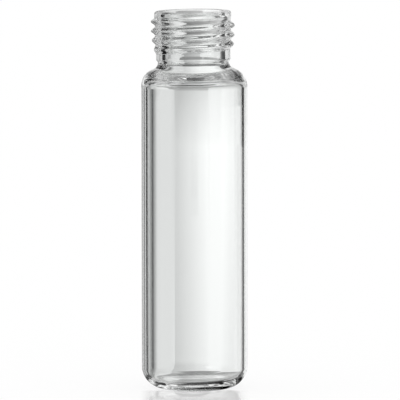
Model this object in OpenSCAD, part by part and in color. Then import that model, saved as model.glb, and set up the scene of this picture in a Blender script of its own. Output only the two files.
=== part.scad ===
// Screw-neck sample vial, formed in one piece from clear glass tube.
// Lengths are in millimetres and angles in degrees. The vial stands upright on
// z = 0, with its axis on Z.

/* [Body] */
// Outside diameter of the body
body_d = 18.5; // [17:0.1:30]
// Height from the foot to the rim
height = 66; // [40:0.5:110]
// Thickness of the body wall
wall = 0.96; // [0.6:0.01:1.5]

/* [Base] */
// Outside radius of the corner between the base and the wall
base_r = 3.85; // [1.5:0.05:5]
// Inside radius of the corner between the floor and the wall
floor_r = 2.15; // [1:0.05:3.5]
// Thickness of the floor, measured from the foot
floor_t = 1.46; // [1:0.02:3]
// Width of the flat ring that the vial stands on
foot_w = 1.3; // [0.6:0.1:2]
// Rise of the shallow dish inside the foot
dish_h = 0.13; // [0.1:0.01:0.6]

/* [Shoulder] */
// Radius of the outer bend from the body into the shoulder
shoulder_r = 3.2; // [1:0.1:4]
// Fall of the shoulder's outer face from level
shoulder_slope = 24; // [10:1:45]
// Radius of the hollow where the shoulder meets the neck
waist_fillet = 1.2; // [0.3:0.1:2]
// Radius of the inner bend from the body into the shoulder
roof_r = 1.6; // [0.8:0.05:3]
// Fall of the shoulder's inner face from level
roof_slope = 16; // [10:1:40]
// Radius of the flare at the bottom of the bore
flare_r = 1.7; // [0.5:0.1:2.2]

/* [Neck] */
// Diameter of the bore where the neck is narrowest
bore_d = 9.8; // [8:0.05:10.6]
// Thickness of the neck's glass there, measured to the root of the thread
neck_wall = 1.7; // [1.2:0.02:2]
// How far the collar below the thread lies inside its root
collar_in = 0.13; // [0.02:0.01:0.19]
// How far the waist lies inside the root of the thread
waist_in = 0.42; // [0.2:0.01:0.6]
// Distance from the rim to the end of the neck's straight root
root_h = 6; // [5:0.1:8]
// Distance from there to the top of the collar
collar_drop = 0.65; // [0.2:0.05:2]
// Height of the collar
collar_h = 1.9; // [0.5:0.1:3]
// Distance from the foot of the collar to the waist
waist_drop = 0.4; // [0.2:0.1:3]
// Distance from the waist to the hollow above the shoulder
waist_h = 0.05; // [0.05:0.05:2]
// Distance from the rim to the end of the bore, where its flare starts
bore_h = 10; // [9:0.1:14]
// How much further out the wall of the bore lies at the mouth
bore_in = 0.1; // [0.02:0.02:0.3]
// Distance from the rim to the place where the bore starts to narrow
bore_in_from = 5.4; // [2:0.1:6]
// Distance over which it narrows
bore_in_run = 2.5; // [1:0.1:3]

/* [Rim] */
// How far the rim band stands proud of the root
band_out = 0.1; // [0.05:0.01:0.4]
// Height of the rim band
band_h = 1.1; // [0.8:0.05:1.6]
// Radius of the rim's outer edge
lip_r = 0.42; // [0.2:0.02:0.5]
// Radius of the rim's inner edge
mouth_r = 0.35; // [0.1:0.02:0.5]

/* [Thread] */
// Rise of the thread for one turn
pitch = 1.64; // [1.3:0.02:2.4]
// Height of the thread above its root
thread_depth = 0.72; // [0.3:0.02:1]
// Distance from the rim to the crest where the thread starts
thread_top = 1.08; // [0.9:0.02:2]
// Number of turns, with both run-outs
thread_turns = 3.95; // [1.5:0.05:4.5]
// Direction in which the thread starts, turned from +X towards +Y
thread_start = 345; // [0:5:360]
// Turns over which the thread rises at its start
lead_in = 0.15; // [0.05:0.05:0.5]
// Turns over which the thread dies away at its end
lead_out = 0.6; // [0.2:0.1:3]
// Turns after which the thread starts to get lower
fade_from = 1.5; // [0:0.1:3]
// Share of its height that it loses in each turn from there
fade_slope = 0.2; // [0:0.01:0.22]
// Fullness of the crest: 1 is a plain wave, and less is rounder
crest_round = 0.95; // [0.5:0.05:1.2]

/* [Hidden] */

// Segments of a revolved surface, and steps in each arc of its outline
revolve_fn = 96;
arc_steps = 12;
// Sections in one turn of the thread, and steps from its crest to its foot
turn_steps = 36;
ridge_steps = 4;
// Gap between two turns, and how deep the thread's foot and back lie in the wall
turn_gap = 0.04;
foot_sink = 0.05;
back_sink = 0.3;
// How far the cavity is cut past the rim
cut_past = 1;

body_r = body_d / 2;
inner_r = body_r - wall;
bore_r = bore_d / 2;
root_r = bore_r + neck_wall;
collar_r = root_r - collar_in;
waist_r = root_r - waist_in;
rim_r = root_r + band_out;
mouth_bore_r = bore_r + bore_in;

// Heights of the places where one part of the outline passes into the next
root_z = height - root_h;
collar_z = root_z - collar_drop;
taper_z = collar_z - collar_h;
waist_z = taper_z - waist_drop;
fillet_z = waist_z - waist_h;
flare_z = height - bore_h;
narrow_z = height - bore_in_from;
band_z = height - band_h;

// A bend between an upright and a slope takes this share of its radius across
slope_in = 1 - sin(shoulder_slope);
roof_in = 1 - sin(roof_slope);
shoulder_bend = min(shoulder_r, (body_r - waist_r) / slope_in - waist_fillet);
roof_bend = min(roof_r, (inner_r - bore_r) / roof_in - flare_r);

// Fall of each slope from its top to its foot, bends and all, gives where it starts
shoulder_run = body_r - waist_r - (shoulder_bend + waist_fillet) * slope_in;
shoulder_z = fillet_z - (shoulder_bend + waist_fillet) * cos(shoulder_slope)
    - shoulder_run * tan(shoulder_slope);
roof_run = inner_r - bore_r - (roof_bend + flare_r) * roof_in;
roof_z = flare_z - (roof_bend + flare_r) * cos(roof_slope) - roof_run * tan(roof_slope);

// The foot is a flat ring, and a shallow ball-shaped dish lies inside it
foot_r = body_r - base_r;
dish_r = foot_r - foot_w;
dish_ball_r = (dish_r * dish_r + dish_h * dish_h) / (2 * dish_h);

thread_z = height - thread_top;

// Points of an arc about [cx, cz], from angle a to angle b
function arc(cx, cz, r, a, b) = [
    for (i = [0:arc_steps])
        let (t = a + (b - a) * i / arc_steps) [cx + r * cos(t), cz + r * sin(t)]
];

// Outline of the glass without its hollow, from the foot up to the rim
outer_outline = concat(
    [[0, 0]],
    arc(foot_r, base_r, base_r, -90, 0),
    arc(body_r - shoulder_bend, shoulder_z, shoulder_bend, 0, 90 - shoulder_slope),
    arc(waist_r + waist_fillet, fillet_z, waist_fillet, 270 - shoulder_slope, 180),
    [[waist_r, waist_z], [collar_r, taper_z], [collar_r, collar_z]],
    [[root_r, root_z], [root_r, band_z], [rim_r, band_z + band_out]],
    arc(rim_r - lip_r, height - lip_r, lip_r, 0, 90),
    [[0, height]]
);

// Outline of the hollow, from the floor up past the rim
cavity_outline = concat(
    [[0, floor_t]],
    arc(inner_r - floor_r, floor_t + floor_r, floor_r, -90, 0),
    arc(inner_r - roof_bend, roof_z, roof_bend, 0, 90 - roof_slope),
    arc(bore_r + flare_r, flare_z, flare_r, 270 - roof_slope, 180),
    [[bore_r, narrow_z - bore_in_run], [mouth_bore_r, narrow_z]],
    arc(mouth_bore_r + mouth_r, height - mouth_r, mouth_r, 180, 90),
    [[mouth_bore_r + mouth_r, height + cut_past], [0, height + cut_past]]
);

// Radius of the neck under the thread at height z
function neck_r(z) = lookup(z, [
    [waist_z, waist_r], [taper_z, collar_r], [collar_z, collar_r], [root_z, root_r]
]);

// Share of its full height that the thread has after u turns
function thread_rise(u) = max(0, min(1, u / lead_in, (thread_turns - u) / lead_out))
    * (1 - fade_slope * max(0, u - fade_from));

// One section of the thread after u turns: a wave's hump, closed inside the wall
function thread_section(u) =
    let (
        angle = thread_start - 360 * u,
        half_w = (pitch - turn_gap) / 2,
        crest_z = thread_z - pitch * u,
        hump = (thread_depth + foot_sink) * thread_rise(u),
        flank = [
            for (k = [-ridge_steps:ridge_steps])
                let (s = k / ridge_steps, z = crest_z + s * half_w)
                    [neck_r(z) - foot_sink + hump * pow((1 + cos(180 * s)) / 2, crest_round), z]
        ],
        back = [
            for (s = [1, -1])
                let (z = crest_z + s * half_w) [neck_r(z) - back_sink, z]
        ]
    )
    [for (p = concat(flank, back)) [p[0] * cos(angle), p[0] * sin(angle), p[1]]];

// Single-start right-hand thread, whose ends sink into the neck
module thread() {
    sections = ceil(thread_turns * turn_steps);
    count = 2 * ridge_steps + 3;
    points = [for (i = [0:sections]) each thread_section(thread_turns * i / sections)];
    sides = [
        for (i = [0:sections - 1], k = [0:count - 1])
            let (a = i * count + k, b = i * count + (k + 1) % count)
                each [[a, a + count, b], [b, a + count, b + count]]
    ];
    start_cap = [for (k = [0:count - 1]) k];
    end_cap = [for (k = [count - 1:-1:0]) sections * count + k];
    polyhedron(points, concat(sides, [start_cap, end_cap]), convexity = 10);
}

module vial() {
    color([0.86, 0.9, 0.9, 0.4])
        difference() {
            union() {
                rotate_extrude($fn = revolve_fn) polygon(outer_outline);
                thread();
            }
            rotate_extrude($fn = revolve_fn) polygon(cavity_outline);
            translate([0, 0, dish_h - dish_ball_r]) sphere(dish_ball_r, $fn = revolve_fn);
        }
}

vial();
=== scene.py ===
"""Clear glass screw-neck sample vial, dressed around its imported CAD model.

The vial is one closed skin of glass, worked out with numpy from the sizes of its
body, base, shoulder, neck and thread. It stands on a pale floor inside a ring of
cards that only the glass sees. The ring is set for the scene's own camera, and from
other sides the edges of its cards show in the glass.
"""

import logging
import math
from dataclasses import dataclass, field
from enum import Enum
from typing import Any

import bpy
import numpy as np
from mathutils import Matrix, Vector


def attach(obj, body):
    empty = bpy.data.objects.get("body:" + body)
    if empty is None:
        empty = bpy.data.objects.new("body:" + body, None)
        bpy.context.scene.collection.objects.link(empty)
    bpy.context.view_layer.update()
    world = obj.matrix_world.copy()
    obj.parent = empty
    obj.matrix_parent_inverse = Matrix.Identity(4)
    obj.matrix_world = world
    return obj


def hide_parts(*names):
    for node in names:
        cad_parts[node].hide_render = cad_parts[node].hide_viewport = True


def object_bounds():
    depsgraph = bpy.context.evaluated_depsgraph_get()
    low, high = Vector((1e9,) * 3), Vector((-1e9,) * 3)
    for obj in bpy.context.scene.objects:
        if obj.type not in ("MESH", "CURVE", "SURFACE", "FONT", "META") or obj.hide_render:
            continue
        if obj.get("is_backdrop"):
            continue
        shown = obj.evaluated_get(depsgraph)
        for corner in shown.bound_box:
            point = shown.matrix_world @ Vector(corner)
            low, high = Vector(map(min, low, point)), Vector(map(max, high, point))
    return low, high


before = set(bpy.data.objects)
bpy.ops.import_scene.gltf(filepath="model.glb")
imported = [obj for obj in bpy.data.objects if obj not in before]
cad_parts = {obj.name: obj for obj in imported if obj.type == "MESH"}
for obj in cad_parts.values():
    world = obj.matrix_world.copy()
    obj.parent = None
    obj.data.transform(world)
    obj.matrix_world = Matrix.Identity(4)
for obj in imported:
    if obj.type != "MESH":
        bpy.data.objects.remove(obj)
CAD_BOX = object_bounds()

LOG = logging.getLogger("vial")
MM = 0.001
WHITE = (1.0, 1.0, 1.0, 1.0)

Line = np.ndarray
Pair = tuple[float, float]


class Operation(Enum):
    """What a Math node works out from its values."""

    PRODUCT = "MULTIPLY"
    LARGEST = "MAXIMUM"
    WITHOUT_SIGN = "ABSOLUTE"
    BEARING = "ARCTAN2"


def straight(start: Pair, end: Pair, steps: int) -> Line:
    """Points of a straight run of outline, p(t) = start + t * (end - start), without its end.

    Args:
        start: radius and height where the run starts, in mm.
        end: radius and height where it ends, in mm.
        steps: number of points.

    Returns:
        Array of steps rows of radius and height.
    """
    t = np.arange(steps)[:, None] / steps
    return np.asarray(start) + t * (np.asarray(end) - np.asarray(start))


def bend(centre: Pair, radius: float, first: float, last: float, steps: int) -> Line:
    """Points of a round bend, p(a) = centre + radius * (cos a, sin a), without its end.

    Args:
        centre: radius and height of the bend's centre, in mm.
        radius: radius of the bend, in mm.
        first: angle where the bend starts, in degrees.
        last: angle where it ends, in degrees.
        steps: number of points.

    Returns:
        Array of steps rows of radius and height.
    """
    a = np.radians(first + (last - first) * np.arange(steps) / steps)
    return np.asarray(centre) + radius * np.column_stack([np.cos(a), np.sin(a)])


def bend_point(centre: Pair, radius: float, angle: float) -> Pair:
    """The one point of a round bend that lies at an angle, in degrees."""
    return tuple(bend(centre, radius, angle, angle, 1)[0])


def ease(t: np.ndarray) -> np.ndarray:
    """Smooth step from 0 to 1: t * t * (3 - 2 t), with t held between 0 and 1."""
    t = np.clip(t, 0, 1)
    return t * t * (3 - 2 * t)


def work_out(tree: bpy.types.NodeTree, kind: Operation, *values: Any) -> bpy.types.NodeSocket:
    """Adds a Math node.

    Args:
        tree: the material's node tree.
        kind: what the node works out.
        values: its values in order, each a socket or a number.

    Returns:
        The socket that carries the result.
    """
    node = tree.nodes.new("ShaderNodeMath")
    node.operation = kind.value
    for socket, value in zip(node.inputs, values):
        if isinstance(value, bpy.types.NodeSocket):
            tree.links.new(value, socket)
        else:
            socket.default_value = value
    return node.outputs[0]


def ramp(
    tree: bpy.types.NodeTree,
    source: bpy.types.NodeSocket,
    span: Pair,
    values: Pair,
) -> bpy.types.NodeSocket:
    """Adds a node that runs evenly from one value to another, and holds them outside.

    Args:
        tree: the material's node tree.
        source: socket whose value drives the ramp.
        span: the source's value at the start and at the end.
        values: the ramp's value at the start and at the end.

    Returns:
        The socket that carries the ramp's value.
    """
    node = tree.nodes.new("ShaderNodeMapRange")
    ends = dict(zip(("From Min", "From Max", "To Min", "To Max"), (*span, *values)))
    for socket, value in ends.items():
        node.inputs[socket].default_value = value
    tree.links.new(source, node.inputs["Value"])
    return node.outputs[0]


@dataclass(frozen=True)
class GlassFinish:
    """Clear tube glass with the faint lines that drawing leaves along it."""

    name: str = "clear_glass"
    tint: tuple[float, float, float] = (0.985, 0.995, 0.99)
    ior: float = 1.49
    roughness: float = 0.0
    line_scale: float = 900.0
    line_detail: float = 2.0
    line_stretch: float = 0.02
    line_height: float = 0.000002
    line_strength: float = 0.25

    def material(self) -> bpy.types.Material:
        """Makes the glass material.

        Returns:
            The material, with draw lines as a slight bump on Object coordinates.
        """
        made = bpy.data.materials.new(self.name)
        made.use_nodes = True
        nodes, links = made.node_tree.nodes, made.node_tree.links
        shader = nodes["Principled BSDF"]
        shader.inputs["Base Color"].default_value = (*self.tint, 1.0)
        shader.inputs["Roughness"].default_value = self.roughness
        shader.inputs["IOR"].default_value = self.ior
        shader.inputs["Transmission Weight"].default_value = 1.0
        place = nodes.new("ShaderNodeTexCoord")
        stretch = nodes.new("ShaderNodeMapping")
        stretch.inputs["Scale"].default_value = (1.0, 1.0, self.line_stretch)
        lines = nodes.new("ShaderNodeTexNoise")
        lines.inputs["Scale"].default_value = self.line_scale
        lines.inputs["Detail"].default_value = self.line_detail
        bump = nodes.new("ShaderNodeBump")
        bump.inputs["Strength"].default_value = self.line_strength
        bump.inputs["Distance"].default_value = self.line_height
        links.new(place.outputs["Object"], stretch.inputs["Vector"])
        links.new(stretch.outputs["Vector"], lines.inputs["Vector"])
        links.new(lines.outputs["Fac"], bump.inputs["Height"])
        links.new(bump.outputs["Normal"], shader.inputs["Normal"])
        return made


@dataclass(frozen=True)
class Rows:
    """Numbers of points in each stretch of the two outlines, more where light bends most."""

    dish: int = 10
    foot: int = 5
    base: int = 30
    body: int = 18
    shoulder: int = 22
    slope: int = 3
    hollow: int = 9
    waist: int = 3
    taper: int = 14
    collar: int = 20
    root_taper: int = 9
    root: int = 84
    band_edge: int = 3
    band: int = 6
    lip: int = 12
    land: int = 3
    mouth: int = 8
    bore: int = 36
    flare: int = 14
    roof_slope: int = 2
    roof: int = 14
    wall: int = 16
    corner: int = 18
    floor: int = 10


@dataclass
class Vial:
    """The vial: one skin of revolution with a single-start ridge wound round its neck.

    Lengths are in mm and angles in degrees. They are those of the CAD part, but the body
    is 0.02 mm slimmer and the rim 0.08 mm lower, so that the leaning neck stays inside the
    CAD part's box. root_h, bore_h, bore_in_from and thread_top, measured down from the rim,
    are less by about as much, and the heights they give are within 0.02 mm of that part's.

    The neck leans towards -X about the height lean_pivot, and its lean comes in from the
    height lean_from to lean_full. The inside of the floor rises towards +X.
    """

    body_d: float = 18.48
    height: float = 65.92
    wall: float = 0.96
    base_r: float = 3.85
    floor_r: float = 2.15
    floor_t: float = 1.46
    foot_w: float = 1.3
    dish_h: float = 0.13
    shoulder_r: float = 3.2
    shoulder_slope: float = 24.0
    waist_fillet: float = 1.2
    roof_r: float = 1.6
    roof_slope: float = 16.0
    flare_r: float = 1.7
    bore_d: float = 9.8
    neck_wall: float = 1.7
    collar_in: float = 0.13
    waist_in: float = 0.42
    root_h: float = 5.9
    collar_drop: float = 0.65
    collar_h: float = 1.9
    waist_drop: float = 0.4
    waist_h: float = 0.05
    bore_h: float = 9.9
    bore_in: float = 0.1
    bore_in_from: float = 5.3
    bore_in_run: float = 2.5
    band_out: float = 0.1
    band_h: float = 1.1
    lip_r: float = 0.42
    mouth_r: float = 0.35
    pitch: float = 1.64
    thread_depth: float = 0.72
    thread_top: float = 1.0
    thread_turns: float = 3.95
    thread_start: float = 345.0
    lead_in: float = 0.15
    lead_out: float = 0.6
    fade_from: float = 1.5
    fade_slope: float = 0.2
    crest_round: float = 0.95
    neck_lean: float = 0.7
    lean_from: float = 52.9
    lean_full: float = 55.0
    lean_pivot: float = 43.4
    floor_tilt: float = 0.72
    around: int = 256
    rows: Rows = field(default_factory=Rows)
    finish: GlassFinish = field(default_factory=GlassFinish)

    @property
    def root_r(self) -> float:
        """Radius of the neck at the root of the thread."""
        return self.bore_d / 2 + self.neck_wall

    @property
    def rim_r(self) -> float:
        """Outside radius of the rim band."""
        return self.root_r + self.band_out

    @property
    def waist_z(self) -> float:
        """Height of the waist, where the neck is slimmest."""
        return self.height - self.root_h - self.collar_drop - self.collar_h - self.waist_drop

    def outer_line(self) -> Line:
        """Outline of the outer skin: arcs and straight runs, from the dish up to the rim.

        Returns:
            Rows of radius and height, in mm, from the middle of the dish to the rim's top.
        """
        rows, body_r, root_r, rim_r = self.rows, self.body_d / 2, self.root_r, self.rim_r
        waist_r, waist_z = root_r - self.waist_in, self.waist_z
        foot_r = body_r - self.base_r
        dish_r = foot_r - self.foot_w
        ball_r = (dish_r**2 + self.dish_h**2) / (2 * self.dish_h)
        edge = math.degrees(math.asin(dish_r / ball_r))
        root_z = self.height - self.root_h
        collar_r, collar_z = root_r - self.collar_in, root_z - self.collar_drop
        taper_z = collar_z - self.collar_h
        fillet_z = waist_z - self.waist_h
        band_z = self.height - self.band_h
        slope = self.shoulder_slope
        share = 1 - math.sin(math.radians(slope))
        run = body_r - waist_r - (self.shoulder_r + self.waist_fillet) * share
        fall = (self.shoulder_r + self.waist_fillet) * math.cos(math.radians(slope))
        shoulder_z = fillet_z - fall - run * math.tan(math.radians(slope))
        shoulder_c = (body_r - self.shoulder_r, shoulder_z)
        fillet_c = (waist_r + self.waist_fillet, fillet_z)
        slope_top = bend_point(shoulder_c, self.shoulder_r, 90 - slope)
        slope_foot = bend_point(fillet_c, self.waist_fillet, 270 - slope)
        lip_c = (rim_r - self.lip_r, self.height - self.lip_r)
        return np.concatenate([
            bend((0, self.dish_h - ball_r), ball_r, 90, 90 - edge, rows.dish),
            straight((dish_r, 0), (foot_r, 0), rows.foot),
            bend((foot_r, self.base_r), self.base_r, -90, 0, rows.base),
            straight((body_r, self.base_r), (body_r, shoulder_z), rows.body),
            bend(shoulder_c, self.shoulder_r, 0, 90 - slope, rows.shoulder),
            straight(slope_top, slope_foot, rows.slope),
            bend(fillet_c, self.waist_fillet, 270 - slope, 180, rows.hollow),
            straight((waist_r, fillet_z), (waist_r, waist_z), rows.waist),
            straight((waist_r, waist_z), (collar_r, taper_z), rows.taper),
            straight((collar_r, taper_z), (collar_r, collar_z), rows.collar),
            straight((collar_r, collar_z), (root_r, root_z), rows.root_taper),
            straight((root_r, root_z), (root_r, band_z), rows.root),
            straight((root_r, band_z), (rim_r, band_z + self.band_out), rows.band_edge),
            straight((rim_r, band_z + self.band_out), (rim_r, lip_c[1]), rows.band),
            bend(lip_c, self.lip_r, 0, 90, rows.lip),
        ])

    def inner_line(self) -> Line:
        """Outline of the inner skin: arcs and straight runs, from the rim down to the floor.

        Returns:
            Rows of radius and height, in mm, from the rim's top to the middle of the floor.
        """
        rows, inner_r, bore_r = self.rows, self.body_d / 2 - self.wall, self.bore_d / 2
        flare_z = self.height - self.bore_h
        slope = self.roof_slope
        share = 1 - math.sin(math.radians(slope))
        run = inner_r - bore_r - (self.roof_r + self.flare_r) * share
        fall = (self.roof_r + self.flare_r) * math.cos(math.radians(slope))
        roof_z = flare_z - fall - run * math.tan(math.radians(slope))
        mouth_c = (bore_r + self.bore_in + self.mouth_r, self.height - self.mouth_r)
        flare_c, roof_c = (bore_r + self.flare_r, flare_z), (inner_r - self.roof_r, roof_z)
        slope_top = bend_point(flare_c, self.flare_r, 270 - slope)
        slope_foot = bend_point(roof_c, self.roof_r, 90 - slope)
        floor_c = (inner_r - self.floor_r, self.floor_t + self.floor_r)
        return np.concatenate([
            straight((self.rim_r - self.lip_r, self.height), (mouth_c[0], self.height), rows.land),
            bend(mouth_c, self.mouth_r, 90, 180, rows.mouth),
            self.bore_line(mouth_c[1], flare_z),
            bend(flare_c, self.flare_r, 180, 270 - slope, rows.flare),
            straight(slope_top, slope_foot, rows.roof_slope),
            bend(roof_c, self.roof_r, 90 - slope, 0, rows.roof),
            straight((inner_r, roof_z), (inner_r, floor_c[1]), rows.wall),
            bend(floor_c, self.floor_r, 0, -90, rows.corner),
            straight((floor_c[0], self.floor_t), (0, self.floor_t), rows.floor),
        ])

    def bore_line(self, top: float, low: float) -> Line:
        """Outline of the bore: r(z) = bore_r + bore_in * (1 - ease(t)), t the share of its run.

        Args:
            top: height where the bore starts, in mm.
            low: height where it ends, in mm.

        Returns:
            Rows of radius and height, without the last.
        """
        line = straight((self.bore_d / 2, top), (self.bore_d / 2, low), self.rows.bore)
        t = (self.height - line[:, 1] - self.bore_in_from) / self.bore_in_run
        line[:, 0] += self.bore_in * (1 - ease(t))
        return line

    def ridge(self, angle: np.ndarray, z: np.ndarray) -> np.ndarray:
        """Height of the thread over the neck: depth * rise(u) * (1 + cos 2 pi s) / 2.

        u is the number of turns wound down from the thread's start to the nearest crest
        on that side of the neck, and s the distance from that crest in pitches.

        Args:
            angle: direction from +X towards +Y, in degrees.
            z: height, in mm.

        Returns:
            Height over the neck in mm, shaped as angle and z together.
        """
        wound = ((self.thread_start - angle) / 360) % 1.0
        drop = (self.height - self.thread_top - z) / self.pitch
        turn = np.maximum(np.round(drop - wound), 0)
        u = wound + turn
        s = np.clip(drop - u, -0.5, 0.5)
        rise = np.clip(np.minimum(u / self.lead_in, (self.thread_turns - u) / self.lead_out), 0, 1)
        rise = rise * (1 - self.fade_slope * np.maximum(0, u - self.fade_from))
        return self.thread_depth * rise * ((1 + np.cos(2 * np.pi * s)) / 2) ** self.crest_round

    def skin(self) -> tuple[np.ndarray, np.ndarray]:
        """Grid of the whole skin: p = (r cos a, r sin a, z), with the ridge added to r.

        The neck's lean and the floor's tilt are then added as small turns about Y.

        Returns:
            Grid of points, rows by around by 3, in mm, and the points of the two poles.
        """
        outer, inner = self.outer_line(), self.inner_line()
        line = np.concatenate([outer[1:], inner])
        angle = np.arange(self.around) * 360 / self.around
        r = np.repeat(line[:, :1], self.around, 1)
        z = np.repeat(line[:, 1:], self.around, 1)
        outside, inside = slice(0, len(outer) - 1), slice(len(outer) - 1, None)
        on_neck = (z[outside] > self.waist_z) & (z[outside] < self.height - self.lip_r)
        r[outside] += np.where(on_neck, self.ridge(angle[None, :], z[outside]), 0)
        a = np.radians(angle)[None, :]
        points = np.stack([r * np.cos(a), r * np.sin(a), z], 2)
        x, h = points[..., 0].copy(), points[..., 2].copy()
        leant = ease((h - self.lean_from) / (self.lean_full - self.lean_from))
        lean = math.radians(self.neck_lean) * leant
        points[..., 0] -= lean * (h - self.lean_pivot)
        points[..., 2] += lean * x
        near = 1 - ease((h[inside] - self.floor_t) / (2 * self.floor_r))
        points[inside, :, 2] += math.tan(math.radians(self.floor_tilt)) * near * x[inside]
        poles = np.array([[0, 0, outer[0, 1]], [0, 0, self.floor_t]])
        return points, poles

    def mesh(self) -> bpy.types.Mesh:
        """Makes the closed mesh, with one fan of triangles at each pole.

        Returns:
            The mesh in metres, faces outward.
        """
        points, poles = self.skin()
        rows, around = points.shape[:2]
        places = np.concatenate([points.reshape(-1, 3), poles]) * MM
        i, j = np.meshgrid(np.arange(rows - 1) * around, np.arange(around), indexing="ij")
        k = (j + 1) % around
        quads = np.stack([i + j, i + k, i + around + k, i + around + j], 2)
        here, ahead = j[0], k[0]
        low_pole, high_pole, last = rows * around, rows * around + 1, (rows - 1) * around
        low = np.stack([np.full(around, low_pole), ahead, here], 1)
        high = np.stack([np.full(around, high_pole), last + here, last + ahead], 1)
        faces = [*quads.reshape(-1, 4).tolist(), *low.tolist(), *high.tolist()]
        made = bpy.data.meshes.new("vial_glass")
        made.from_pydata(places, [], faces)
        made.polygons.foreach_set("use_smooth", np.ones(len(faces), bool))
        made.validate()
        made.update()
        return made

    def build(self) -> bpy.types.Object:
        """Makes the vial's piece and puts it in place of the CAD node.

        Returns:
            The piece.
        """
        piece = bpy.data.objects.new("vial_glass", self.mesh())
        bpy.context.scene.collection.objects.link(piece)
        piece.data.materials.append(self.finish.material())
        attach(piece, "root")
        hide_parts("vial")
        LOG.info("%s: %d vertices", piece.name, len(piece.data.vertices))
        return piece


@dataclass(frozen=True)
class Card:
    """One bent card round the vial, from one bearing to another and one height to another.

    Bearings are in degrees from behind the vial, positive to the camera's right. Heights
    are in mm from the floor. A strength of 1 is white. The two strengths are those where
    the card starts and where it ends, and at its top edge top_share of each is left.
    """

    name: str
    first: float
    last: float
    low: float
    high: float
    strength: float
    end_strength: float | None = None
    top_share: float = 1.0

    def material(self) -> bpy.types.Material:
        """Makes the card's light: an even strength, or one that runs across it and up it.

        Returns:
            The material.
        """
        made = bpy.data.materials.new(self.name)
        made.use_nodes = True
        nodes, links = made.node_tree.nodes, made.node_tree.links
        nodes.clear()
        out = nodes.new("ShaderNodeOutputMaterial")
        light = nodes.new("ShaderNodeEmission")
        links.new(light.outputs[0], out.inputs["Surface"])
        end = self.strength if self.end_strength is None else self.end_strength
        if end == self.strength and self.top_share == 1.0:
            light.inputs["Strength"].default_value = self.strength
            return made
        place = nodes.new("ShaderNodeTexCoord")
        split = nodes.new("ShaderNodeSeparateXYZ")
        links.new(place.outputs["Object"], split.inputs[0])
        tree, places = made.node_tree, split.outputs
        turn = work_out(tree, Operation.BEARING, places["X"], places["Y"])
        bearings = (math.radians(self.first), math.radians(self.last))
        across = ramp(tree, turn, bearings, (self.strength, end))
        heights = (self.low * MM, self.high * MM)
        up = ramp(tree, places["Z"], heights, (1.0, self.top_share))
        links.new(work_out(tree, Operation.PRODUCT, across, up), light.inputs["Strength"])
        return made


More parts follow.
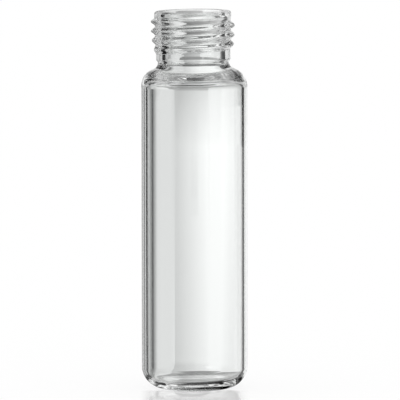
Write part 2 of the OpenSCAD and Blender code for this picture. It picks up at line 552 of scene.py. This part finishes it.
@dataclass
class CardRing:
    """Ring of bent cards that the glass mirrors and bends, unseen by the camera and the floor.

    Many of their bearings and strengths began as the rounded output of least-squares fits
    made for the scene's own camera, and were then changed.
    """

    radius: float = 80.0
    step: float = 1.0
    cards: tuple[Card, ...] = (
        Card("light_box_left_low", -145, -95, -120, -20, 1.7),
        Card("light_box_left", -140, -98, -20, 62, 0.85),
        Card("light_box_left_top", -145, -95, 62, 120, 1.8),
        Card("grey_card_left", -98, -84, -20, 62, 0.4),
        Card("pale_card_left_top", -95, -84, 62, 110, 0.8),
        Card("front_card_left", -172, -140, -20, 45, 0.95, top_share=0.1),
        Card("front_card_left_low", -180, -145, -90, -20, 0.6),
        Card("black_flag_left", -84, -57, -20, 100, 0),
        Card("grey_strip_left", -57, -51, -20, 36, 0.1),
        Card("black_strip_left_top", -57, -51, 36, 100, 0),
        Card("black_flag_left_inner", -51, -44, -20, 100, 0),
        Card("strip_light_left", -44, -38, -20, 50, 0.75),
        Card("charcoal_strip_left", -38, -28, -20, 50, 0.2),
        Card("strip_light_back_left", -28, -26, -20, 50, 1.05),
        Card("grey_edge_left", -26, -22, -20, 50, 0.57),
        Card("charcoal_edge_left", -22, -16, -20, 50, 0.35, 0.1),
        Card("backdrop_edge_left", -16, -12, -20, 50, 0.2, 0.68),
        Card("high_card_left", -44, -26, 50, 92, 0.58),
        Card("high_card_left_inner", -18, -12, 50, 150, 0.68),
        Card("backdrop_left", -12, -4.7, -40, 54, 0.72),
        Card("backdrop_middle", -4.7, 3, -20, 36, 0.5, 0.82, 1.4),
        Card("backdrop_middle_top", -4.7, 3, 36, 48, 0.7, 1.13, 0.78),
        Card("backdrop_right", 3, 14, -20, 36, 0.87, top_share=1.26),
        Card("backdrop_right_top", 3, 14, 36, 84, 1.08, top_share=0.56),
        Card("backdrop_falloff_right", 14, 20, -20, 36, 1, 0.85),
        Card("pale_card_back_right", 20, 28, -20, 36, 0.88, 0.98),
        Card("strip_light_back_right", 28, 32, -20, 36, 1.2),
        Card("pale_strip_right", 32, 36.5, -20, 36, 0.88),
        Card("backdrop_far_right_top", 14, 36.5, 36, 84, 0.98, 0.94, 0.66),
        Card("black_flag_right", 36.5, 45, -20, 62, 0),
        Card("charcoal_strip_right", 45, 50, -20, 36, 0.25),
        Card("grey_strip_right", 50, 57, -20, 36, 0.4, 0.2),
        Card("black_strip_right_top", 45, 57, 36, 62, 0),
        Card("light_box_right", 57, 120, -20, 44, 1),
        Card("flag_edge_right_top", 57, 66, 44, 100, 0.1),
        Card("light_box_right_top", 80, 120, 44, 100, 0.85),
        Card("front_card_right", 120, 172, -20, 55, 1.7, 1.4, 0),
        Card("low_card_far_left", -80, -50, -40, -20, 0.3),
        Card("low_card_left", -50, -12, -40, -20, 0.08),
        Card("low_card_middle", -4.7, 22, -40, -20, 0.25),
        Card("low_card_right", 22, 45, -40, -20, 0.05),
        Card("low_card_far_right", 45, 60, -40, -20, 0.5),
        Card("low_card_side_right", 60, 84, -40, -20, 1.4),
        Card("low_card_front_right", 84, 135, -40, -20, 1.9),
        Card("low_card_front", 135, 180, -40, -20, 1.1),
        Card("ground_left", -95, -12, -90, -40, 0.5),
        Card("ground_middle", -12, 30, -90, -40, 0),
        Card("ground_right", 30, 62, -90, -40, 0.45),
        Card("ground_side_right", 62, 84, -90, -40, 1.1),
        Card("ground_front_right", 84, 150, -90, -40, 0.8),
        Card("deep_ground_left", -95, -12, -400, -90, 0.5),
        Card("deep_ground_middle", -12, 55, -400, -90, 0.02),
        Card("front_card_left_top", -172, -145, 45, 98, 0),
        Card("ceiling_front_right", 120, 172, 55, 98, 0),
        Card("side_card_right_top", 84, 120, 100, 150, 0.4),
        Card("high_card_middle", -6.2, 3, 84, 150, 0.2, 0.35),
        Card("high_card_right_inner", 3, 14, 84, 150, 0.35, 0.55),
        Card("high_card_far_right", 14, 38, 84, 120, 0.6),
        Card("high_strip_left", -26, -18, 50, 150, 0.42),
        Card("backdrop_left_top", -12, -6.2, 54, 150, 0.77),
        Card("backdrop_middle_upper", -6.2, 3, 54, 84, 0.36, 0.62, 0.6),
        Card("light_box_right_top_edge", 66, 80, 44, 100, 0.4),
        Card("backdrop_middle_neck", -4.7, 3, 48, 54, 0.51, 0.82, 0.75),
        Card("camera_shade_left", -180, -172, 24, 98, 0.12),
        Card("camera_shade_right", 172, 180, 24, 98, 0.12),
        Card("front_card_left_middle", -180, -172, -20, 24, 0.95, top_share=0.42),
        Card("front_card_right_middle", 172, 180, -20, 24, 1.4, top_share=0.41),
        Card("dark_card_right_top", 38, 57, 62, 100, 0.12),
        Card("brow_card_left", -180, -145, 98, 140, 0.13),
        Card("brow_card_left_top", -180, -145, 140, 185, 0.4),
        Card("front_ceiling_left", -180, -145, 185, 400, 0),
        Card("brow_card_right", 120, 180, 98, 140, 0.22, 0.1),
        Card("brow_card_right_top", 120, 180, 140, 185, 0.4),
        Card("front_ceiling_right", 120, 180, 185, 400, 0),
        Card("shoulder_card_right", 50, 84, 100, 150, 0.6),
        Card("dark_card_left_top", -44, -26, 92, 114, 0.12),
        Card("high_card_left_upper", -44, -26, 114, 150, 0.58),
    )
    surround: Card = Card("grey_surround", -180, 180, -400, 400, 0.3)
    surround_out: float = 4.0

    def panel(self, card: Card, radius: float) -> bpy.types.Object:
        """Makes one card: p = (radius sin b, radius cos b, z) over its bearings b.

        Args:
            card: the card.
            radius: its distance from the vial's axis, in mm.

        Returns:
            Its object, marked as stage.
        """
        count = max(1, round((card.last - card.first) / self.step)) + 1
        bearing = np.radians(np.linspace(card.first, card.last, count))
        ring = np.column_stack([np.sin(bearing), np.cos(bearing)]) * radius
        low = np.column_stack([ring, np.full(count, card.low)])
        high = np.column_stack([ring, np.full(count, card.high)])
        i = np.arange(count - 1)
        faces = np.stack([i, i + 1, count + i + 1, count + i], 1)
        mesh = bpy.data.meshes.new(card.name)
        mesh.from_pydata(np.concatenate([low, high]) * MM, [], faces.tolist())
        mesh.update()
        mesh.materials.append(card.material())
        made = bpy.data.objects.new(card.name, mesh)
        bpy.context.scene.collection.objects.link(made)
        made.visible_camera = False
        made.visible_diffuse = False
        made.visible_shadow = False
        made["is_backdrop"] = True
        return made

    def build(self) -> None:
        """Makes every card of the ring and the plain surround behind them."""
        for card in self.cards:
            self.panel(card, self.radius)
        self.panel(self.surround, self.radius + self.surround_out)
        LOG.info("card ring: %d cards", len(self.cards))


@dataclass
class Studio:
    """Pale floor, white surroundings and the camera. Lengths are in mm."""

    floor_size: float = 3000.0
    floor_white: float = 0.12
    floor_fill: float = 0.88
    gloss: float = 0.42
    gloss_roughness: float = 0.1
    gloss_half: float = 7.4
    gloss_back: float = 3.0
    gloss_reach: float = 30.0
    gloss_fade: float = 2.2
    camera_x: float = 0.96
    camera_y: float = -950.0
    camera_z: float = 123.22
    camera_pitch: float = 5.43
    camera_roll: float = -0.075
    lens: float = 492.66
    sensor: float = 36.0
    sees_from: float = 10.0
    sees_to: float = 10000.0
    bounces: int = 32

    def world(self) -> None:
        """Makes the surroundings a plain white of strength 1."""
        made = bpy.data.worlds.new("white_room")
        made.use_nodes = True
        back = made.node_tree.nodes["Background"]
        back.inputs["Color"].default_value = WHITE
        back.inputs["Strength"].default_value = 1.0
        bpy.context.scene.world = made

    def gloss_share(self, tree: bpy.types.NodeTree) -> bpy.types.NodeSocket:
        """Adds the nodes that keep the floor's gloss to a patch in front of the vial.

        Args:
            tree: the floor material's node tree.

        Returns:
            Socket with the share of gloss: full on the patch, and fading out round it. From
            other sides the patch shows as a pale grey strip with straight edges.
        """
        place = tree.nodes.new("ShaderNodeTexCoord")
        split = tree.nodes.new("ShaderNodeSeparateXYZ")
        tree.links.new(place.outputs["Object"], split.inputs[0])
        side = work_out(tree, Operation.WITHOUT_SIGN, split.outputs["X"])
        edge, fade = self.gloss_half * MM, self.gloss_fade * MM
        back, front = -self.gloss_back * MM, -self.gloss_reach * MM
        across = ramp(tree, side, (edge, edge + fade), (self.gloss, 0.0))
        near = ramp(tree, split.outputs["Y"], (back - fade, back), (1.0, 0.0))
        far = ramp(tree, split.outputs["Y"], (front - fade, front), (0.0, 1.0))
        along = work_out(tree, Operation.PRODUCT, near, far)
        return work_out(tree, Operation.PRODUCT, across, along)

    def floor_material(self) -> bpy.types.Material:
        """Makes the floor's finish: matt, lifted to white for the camera, with some gloss.

        Returns:
            The material.
        """
        made = bpy.data.materials.new("pale_floor")
        made.use_nodes = True
        nodes, links = made.node_tree.nodes, made.node_tree.links
        shader = nodes["Principled BSDF"]
        shader.inputs["Base Color"].default_value = (self.floor_white,) * 3 + (1.0,)
        shader.inputs["Roughness"].default_value = 1.0
        shader.inputs["Specular IOR Level"].default_value = 0.0
        shader.inputs["Emission Color"].default_value = WHITE
        # The transmission ray counts only where the floor is shown to the glass
        rays = nodes.new("ShaderNodeLightPath")
        seen = (rays.outputs["Is Camera Ray"], rays.outputs["Is Transmission Ray"])
        either = work_out(made.node_tree, Operation.LARGEST, *seen)
        fill = work_out(made.node_tree, Operation.PRODUCT, either, self.floor_fill)
        links.new(fill, shader.inputs["Emission Strength"])
        polish = nodes.new("ShaderNodeBsdfGlossy")
        polish.inputs["Roughness"].default_value = self.gloss_roughness
        mix = nodes.new("ShaderNodeMixShader")
        links.new(self.gloss_share(made.node_tree), mix.inputs[0])
        links.new(shader.outputs[0], mix.inputs[1])
        links.new(polish.outputs[0], mix.inputs[2])
        links.new(mix.outputs[0], nodes["Material Output"].inputs["Surface"])
        return made

    def floor(self) -> bpy.types.Object:
        """Makes the pale floor, hidden from the glass, which sees the card ring in its place.

        Returns:
            The floor, marked as stage.
        """
        half = self.floor_size / 2 * MM
        mesh = bpy.data.meshes.new("floor")
        places = np.array([[-1, -1, 0], [1, -1, 0], [1, 1, 0], [-1, 1, 0]]) * half
        mesh.from_pydata(places, [], [[0, 1, 2, 3]])
        mesh.update()
        mesh.materials.append(self.floor_material())
        made = bpy.data.objects.new("floor", mesh)
        bpy.context.scene.collection.objects.link(made)
        made.visible_transmission = False
        made.visible_glossy = False
        made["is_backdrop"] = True
        return made

    def camera(self) -> None:
        """Makes the camera, tipped down by its pitch and turned a little by its roll."""
        lens = bpy.data.cameras.new("camera")
        lens.lens = self.lens
        lens.sensor_width = self.sensor
        lens.clip_start, lens.clip_end = self.sees_from * MM, self.sees_to * MM
        made = bpy.data.objects.new("camera", lens)
        bpy.context.scene.collection.objects.link(made)
        made.location = Vector((self.camera_x, self.camera_y, self.camera_z)) * MM
        tip = Matrix.Rotation(math.radians(90 - self.camera_pitch), 3, "X")
        roll = Matrix.Rotation(math.radians(self.camera_roll), 3, "Z")
        made.rotation_euler = (tip @ roll).to_euler()
        bpy.context.scene.camera = made

    def build(self) -> None:
        """Makes the whole studio."""
        self.world()
        self.floor()
        self.camera()
        bpy.context.scene.view_settings.view_transform = "Standard"
        paths = bpy.context.scene.cycles
        paths.max_bounces = paths.glossy_bounces = paths.transmission_bounces = self.bounces
        LOG.info("studio: floor, world and camera")


def corners(box: tuple[Vector, Vector]) -> list[list[float]]:
    """The two corners of a box as plain lists."""
    return [list(map(float, corner)) for corner in box]


def main() -> dict[str, Any]:
    """Builds the vial, the card ring and the studio.

    Returns:
        The sizes written.
    """
    logging.basicConfig(level=logging.INFO, format="%(name)s: %(message)s")
    Vial().build()
    CardRing().build()
    Studio().build()
    sizes = {"cad": corners(CAD_BOX), "visual": corners(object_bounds())}
    LOG.info("sizes: %s", sizes)
    return sizes


if __name__ == "__main__":
    main()
